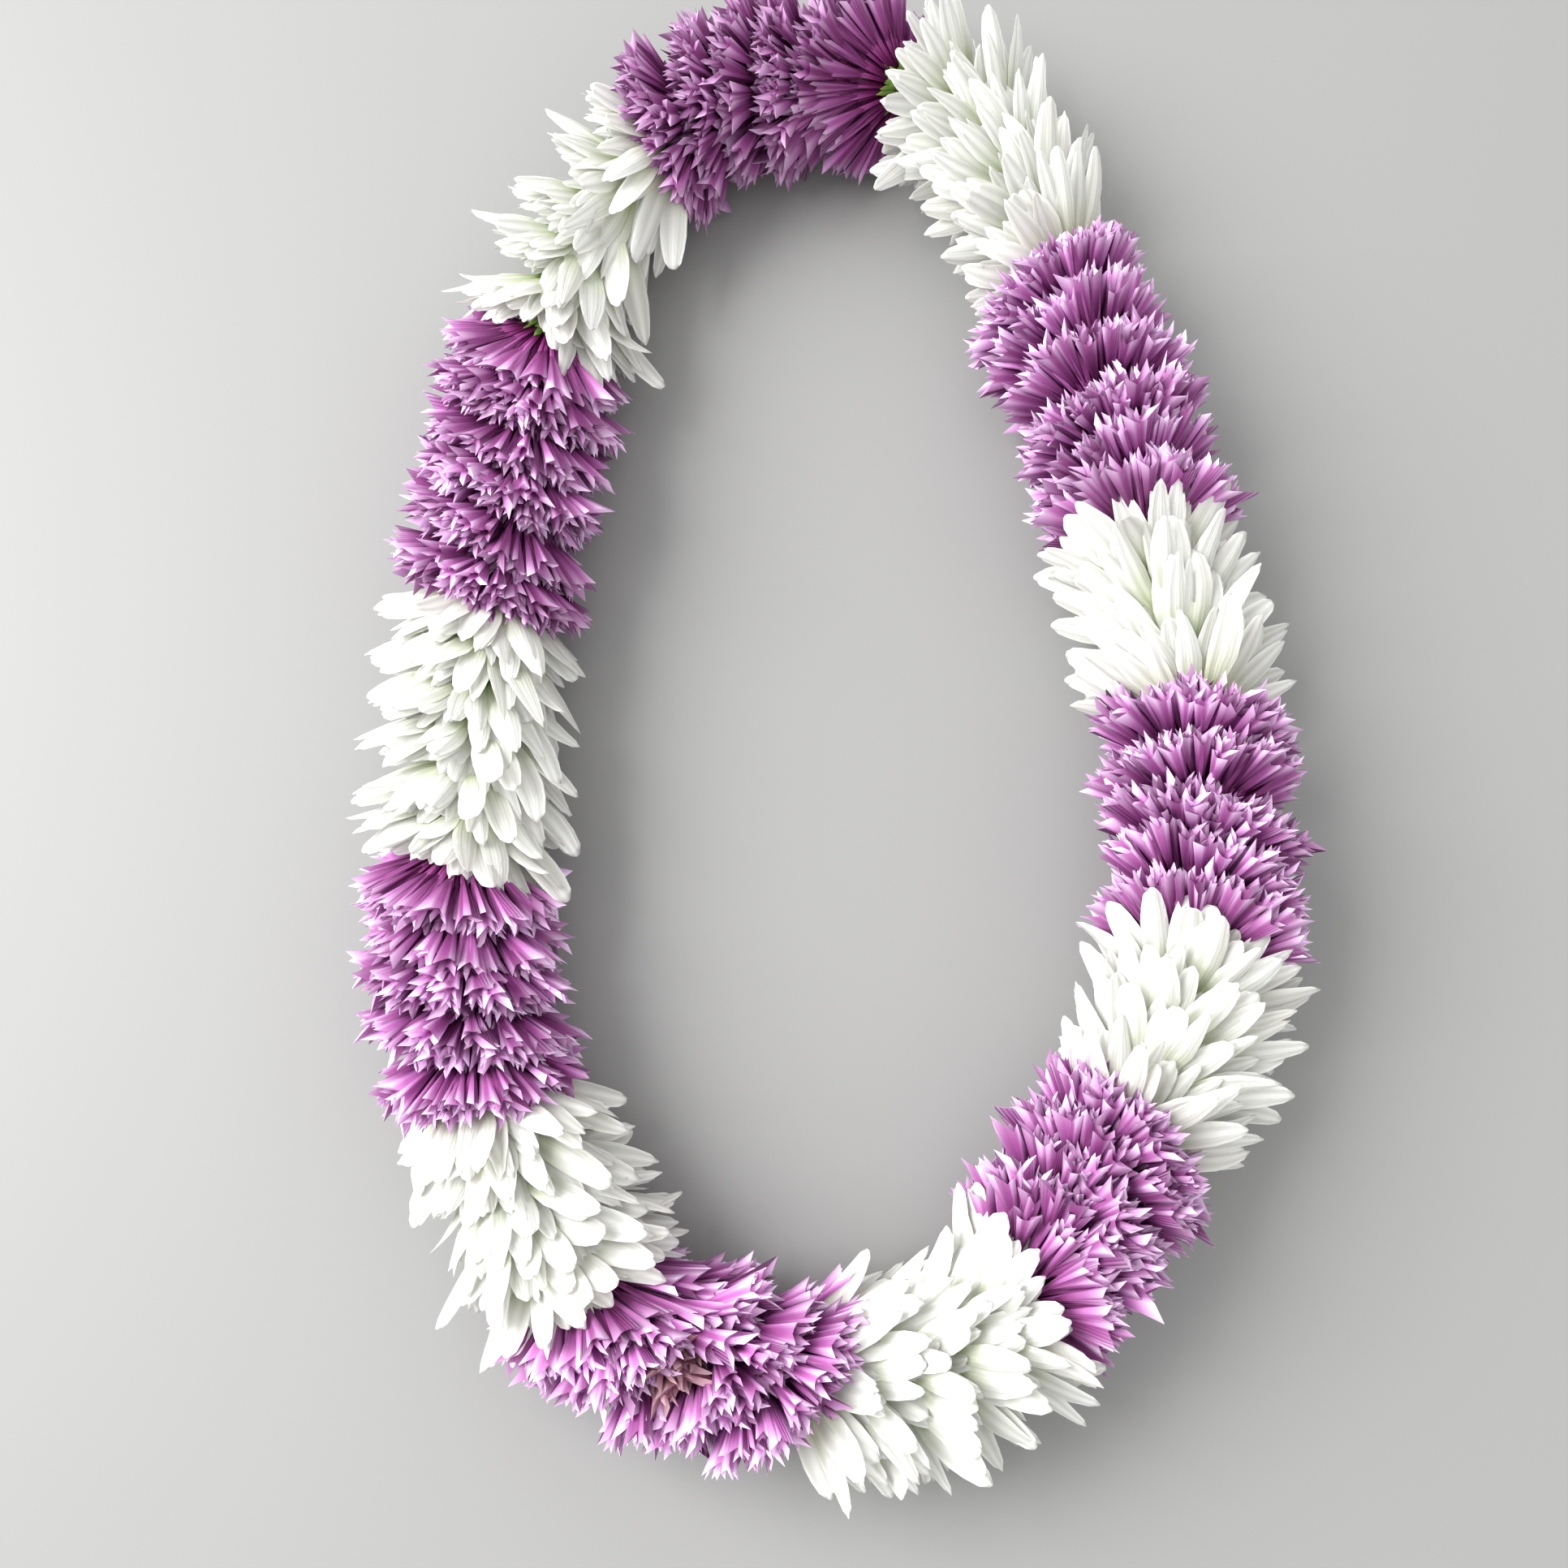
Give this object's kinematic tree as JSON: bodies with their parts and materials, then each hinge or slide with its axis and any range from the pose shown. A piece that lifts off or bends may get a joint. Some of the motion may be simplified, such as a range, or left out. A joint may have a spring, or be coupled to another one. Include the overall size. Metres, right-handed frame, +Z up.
{
  "type": "fresh flower lei",
  "caption": "Closed garland of fresh flower heads in alternating purple and white blocks, threaded through their middles on a tied cotton loop and lying flat in an egg-shaped ring.",
  "frame": {"origin": "on the table, under the middle of the lei's bounding box", "axes": "+Z up out of the table, +Y along the lei's long side towards its narrower end; every head opens anticlockwise seen from above"},
  "size_m": [0.2836, 0.4734, 0.0538],
  "materials": {
    "purple_petals": "matte petals, lighter at the tips",
    "white_petals": "satin petals, greenish yellow at the base",
    "green_calyx": "matte green bracts",
    "thread": "twisted cotton"
  },
  "bodies": {
    "root": {"purple_1_head_1": "purple_petals", "purple_1_head_2": "purple_petals", "purple_1_head_3": "purple_petals", "purple_1_head_4": "purple_petals", "purple_1_heads_5_6": "purple_petals", "white_1_head_1": "white_petals", "white_1_head_2": "white_petals", "white_1_head_3": "white_petals", "white_1_heads_4_5": "white_petals", "purple_2_head_1": "purple_petals", "purple_2_head_2": "purple_petals", "purple_2_head_3": "purple_petals", "purple_2_head_4": "purple_petals", "purple_2_heads_5_6": "purple_petals", "white_2_head_1": "white_petals", "white_2_head_2": "white_petals", "white_2_head_3": "white_petals", "white_2_head_4": "white_petals", "white_2_heads_5_6": "white_petals", "purple_3_head_1": "purple_petals", "purple_3_head_2": "purple_petals", "purple_3_head_3": "purple_petals", "purple_3_heads_4_5": "purple_petals", "white_3_head_1": "white_petals", "white_3_head_2": "white_petals", "white_3_head_3": "white_petals", "white_3_heads_4_5": "white_petals", "purple_4_head_1": "purple_petals", "purple_4_head_2": "purple_petals", "purple_4_head_3": "purple_petals", "purple_4_heads_4_5": "purple_petals", "white_4_head_1": "white_petals", "white_4_head_2": "white_petals", "white_4_head_3": "white_petals", "white_4_heads_4_5": "white_petals", "purple_5_head_1": "purple_petals", "purple_5_head_2": "purple_petals", "purple_5_head_3": "purple_petals", "purple_5_heads_4_5": "purple_petals", "white_5_head_1": "white_petals", "white_5_head_2": "white_petals", "white_5_heads_3_4": "white_petals", "purple_6_head_1": "purple_petals", "purple_6_head_2": "purple_petals", "purple_6_head_3": "purple_petals", "purple_6_heads_4_5": "purple_petals", "white_6_head_1": "white_petals", "white_6_head_2": "white_petals", "white_6_heads_3_4": "white_petals", "purple_7_head_1": "purple_petals", "purple_7_head_2": "purple_petals", "purple_7_head_3": "purple_petals", "purple_7_head_4": "purple_petals", "purple_7_heads_5_6": "purple_petals", "white_7_head_1": "white_petals", "white_7_head_2": "white_petals", "white_7_head_3": "white_petals", "white_7_heads_4_5": "white_petals", "thread": "thread", "thread_knot": "thread"}
  },
  "joints": []
}
